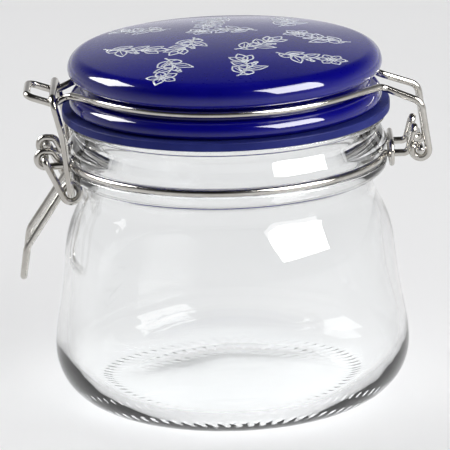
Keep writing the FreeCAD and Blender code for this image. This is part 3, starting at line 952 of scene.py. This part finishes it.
def lid_print():
    """Sprigs scattered over the lid's top, in rings with some jitter."""
    rng = random.Random(11)
    ink = Ink()
    spots = []
    for ring, count, offset in SPRIG_RINGS:
        for i in range(count):
            angle = math.radians(offset + 360 * i / count + rng.uniform(-5, 5))
            radius = ring + rng.uniform(-1.2, 1.0)
            spots.append((radius * math.cos(angle), radius * math.sin(angle)))
    for k, (u, v) in enumerate(spots):
        heading = math.degrees(math.atan2(v, u)) + rng.uniform(12, 40) * (-1) ** k
        if k < SPRIG_RINGS[0][1]:
            heading += 70
        elif k % 2:
            heading += 180
        sprig(ink, (u, v), heading, k % 5, SPRIG_SIZE + rng.uniform(-0.03, 0.04))
    new_object("lid_print", ink.verts, ink.faces, "lid", PRINT)


# ---------------------------------------------------------------- wires
def wires():
    """The five wires. The clamp ring is on the hinge side, round the neck wire's arms."""
    for name, node_name, body, route in (
        ("neck_bail", "neck_wire", "jar", neck_wire_route()),
        ("lid_bail", "lid_wire", "lid", lid_wire_route()),
        ("lever_bail", "lever", "lever", lever_route()),
        ("link_bail", "link", "link", link_route()),
    ):
        verts, faces = tube(rounded(route, 4.0), WIRE)
        new_object(name, verts, faces, body, PLATED, [node_name])
    reach = STOP_SPREAD / 2 + WIRE / 2 + CLAMP_WIRE / 2 + 0.1
    half_height = 3.2
    x = NECK_RADIUS + 0.3 + CLAMP_WIRE / 2
    z = WIRE_GROOVE_HEIGHT
    end = half_height - 0.4
    line = rounded([
        (V(x, 0, z - half_height), 0),
        (V(x, reach, z - half_height), end),
        (V(x, reach, z + half_height), end),
        (V(x, -reach, z + half_height), end),
        (V(x, -reach, z - half_height), end),
        (V(x, 0, z - half_height), 0),
    ], 6.0)
    verts, faces = loop_tube(line[:-1], CLAMP_WIRE)
    new_object("clamp_loop", verts, faces, "jar", PLATED, ["clamp_ring"])


glass_jar()
lid()
gasket()
lid_print()
wires()


# ---------------------------------------------------------------- floor, light, camera
def flat_piece(name, size, z):
    mesh = bpy.data.meshes.new(name)
    mesh.from_pydata([(-size, -size, z), (size, -size, z), (size, size, z), (-size, size, z)],
                     [], [(0, 1, 2, 3)])
    piece = bpy.data.objects.new(name, mesh)
    bpy.context.scene.collection.objects.link(piece)
    return piece


def floor():
    piece = flat_piece("floor", 4.0, -0.0001)
    m, tree, shader = material("pale_floor", (0.86, 0.86, 0.865), 0.6)
    place = object_coords(tree)
    cloud = noise_node(tree, place, 3.0, 3.0)
    factor = remap(tree, cloud.outputs["Fac"], 0.0, 1.0)
    colour = colour_mix(tree, factor, (0.84, 0.84, 0.85), (0.88, 0.88, 0.885))
    tree.links.new(colour, shader.inputs["Base Color"])
    # a white sweep to the eye, in metal and through glass, that keeps the shadow
    white = node(tree, "ShaderNodeEmission", Strength=1.0)
    white.inputs["Color"].default_value = (0.92, 0.92, 0.925, 1)
    path = node(tree, "ShaderNodeLightPath")
    eye = node(tree, "ShaderNodeMath", operation="MAXIMUM")
    tree.links.new(path.outputs["Is Camera Ray"], eye.inputs[0])
    tree.links.new(path.outputs["Is Glossy Ray"], eye.inputs[1])
    seen = node(tree, "ShaderNodeMath", operation="MAXIMUM")
    tree.links.new(eye.outputs[0], seen.inputs[0])
    tree.links.new(path.outputs["Is Transmission Ray"], seen.inputs[1])
    half = node(tree, "ShaderNodeMath", operation="MULTIPLY")
    tree.links.new(seen.outputs[0], half.inputs[0])
    half.inputs[1].default_value = 0.5
    mix = node(tree, "ShaderNodeMixShader")
    tree.links.new(half.outputs[0], mix.inputs[0])
    tree.links.new(shader.outputs[0], mix.inputs[1])
    tree.links.new(white.outputs[0], mix.inputs[2])
    tree.links.new(mix.outputs[0], tree.nodes["Material Output"].inputs["Surface"])
    piece.data.materials.append(m)


def area_light(name, azimuth, elevation, distance, size, power, only=""):
    """A soft box. Azimuth is measured from the camera's side towards +X.

    only names the one kind of ray that sees it, "diffuse" or "glossy". If it is empty,
    every kind does.
    """
    target = Vector((0, 0, 0.06))
    a, e = math.radians(azimuth), math.radians(elevation)
    lamp = bpy.data.lights.new(name, "AREA")
    lamp.shape = "RECTANGLE"
    lamp.size, lamp.size_y = size
    lamp.energy = power
    place = target + distance * Vector((
        math.sin(a) * math.cos(e), -math.cos(a) * math.cos(e), math.sin(e)))
    piece = bpy.data.objects.new(name, lamp)
    piece.location = place
    piece.rotation_euler = (target - place).to_track_quat("-Z", "Y").to_euler()
    piece.visible_diffuse = only != "glossy"
    piece.visible_glossy = only != "diffuse"
    piece.visible_transmission = only == ""
    bpy.context.scene.collection.objects.link(piece)


def world():
    w = bpy.data.worlds.new("studio")
    bpy.context.scene.world = w
    w.use_nodes = True
    tree = w.node_tree
    back = tree.nodes["Background"]
    coords = node(tree, "ShaderNodeTexCoord")
    parts = node(tree, "ShaderNodeSeparateXYZ", [("Vector", coords.outputs["Generated"])])
    # bright low down all round, where the pale backdrop is, and dark above it
    ramp = node(tree, "ShaderNodeValToRGB",
                [("Fac", remap(tree, parts.outputs["Z"], 0.0, 1.0, -1.0, 1.0))])
    stops = ((0.50, 0.90), (0.55, 0.58), (0.61, 0.42), (0.65, 0.32), (0.70, 0.16),
             (0.75, 0.05), (0.80, 0.02), (1.0, 0.02))
    elements = ramp.color_ramp.elements
    while len(elements) < len(stops):
        elements.new(0.5)
    for element, (place, grey) in zip(elements, stops):
        element.position = place
        element.color = (grey, grey, grey * 1.01, 1)
    # the side that the camera stands on is dimmer than the backdrop's side
    front = remap(tree, parts.outputs["Y"], 0.55, 1.0, -0.6, 0.2)
    dimmed = node(tree, "ShaderNodeMix", data_type="RGBA", blend_type="MULTIPLY")
    dimmed.inputs[0].default_value = 1.0
    tree.links.new(ramp.outputs["Color"], dimmed.inputs[6])
    tree.links.new(front, dimmed.inputs[7])
    # the eye, and glass with it, sees the white sweep everywhere
    path = node(tree, "ShaderNodeLightPath")
    seen = node(tree, "ShaderNodeMath", operation="MAXIMUM")
    tree.links.new(path.outputs["Is Camera Ray"], seen.inputs[0])
    tree.links.new(path.outputs["Is Transmission Ray"], seen.inputs[1])
    sweep = node(tree, "ShaderNodeMix", data_type="RGBA")
    tree.links.new(seen.outputs[0], sweep.inputs[0])
    tree.links.new(dimmed.outputs[2], sweep.inputs[6])
    sweep.inputs[7].default_value = (0.88, 0.88, 0.885, 1)
    tree.links.new(sweep.outputs[2], back.inputs["Color"])
    back.inputs["Strength"].default_value = 1.0


def camera():
    distance, elevation, roll = 1.200, 15.54, 1.7
    image_px, sensor = 450, 36
    focal_px, shift_px = 4118.0, (3.4, -32.1)
    aim = Vector((0, 0, 0.060))
    e = math.radians(elevation)
    cam = bpy.data.cameras.new("camera")
    cam.sensor_width = sensor
    cam.lens = sensor * focal_px / image_px
    cam.shift_x = -shift_px[0] / image_px
    cam.shift_y = shift_px[1] / image_px
    cam.clip_start = 0.01
    cam.clip_end = 50
    piece = bpy.data.objects.new("camera", cam)
    place = aim + distance * Vector((0, -math.cos(e), math.sin(e)))
    turned = (aim - place).to_track_quat("-Z", "Y").to_matrix().to_4x4()
    piece.matrix_world = Matrix.Translation(place) @ turned @ Matrix.Rotation(
        math.radians(-roll), 4, "Z")
    bpy.context.scene.collection.objects.link(piece)
    bpy.context.scene.camera = piece


floor()
area_light("key", 56, 33, 0.95, (0.66, 0.60), 6.0)
area_light("key_shine", 56, 36, 0.94, (0.66, 0.70), 20.0, "glossy")
area_light("left", -108, 34, 0.95, (0.45, 0.45), 2.2)
area_light("left_shine", -108, 36, 0.94, (0.45, 0.45), 9.0, "glossy")
area_light("top", 180, 64, 1.2, (0.7, 0.7), 6.0, "diffuse")
world()
camera()
bpy.context.scene.view_settings.view_transform = "Standard"
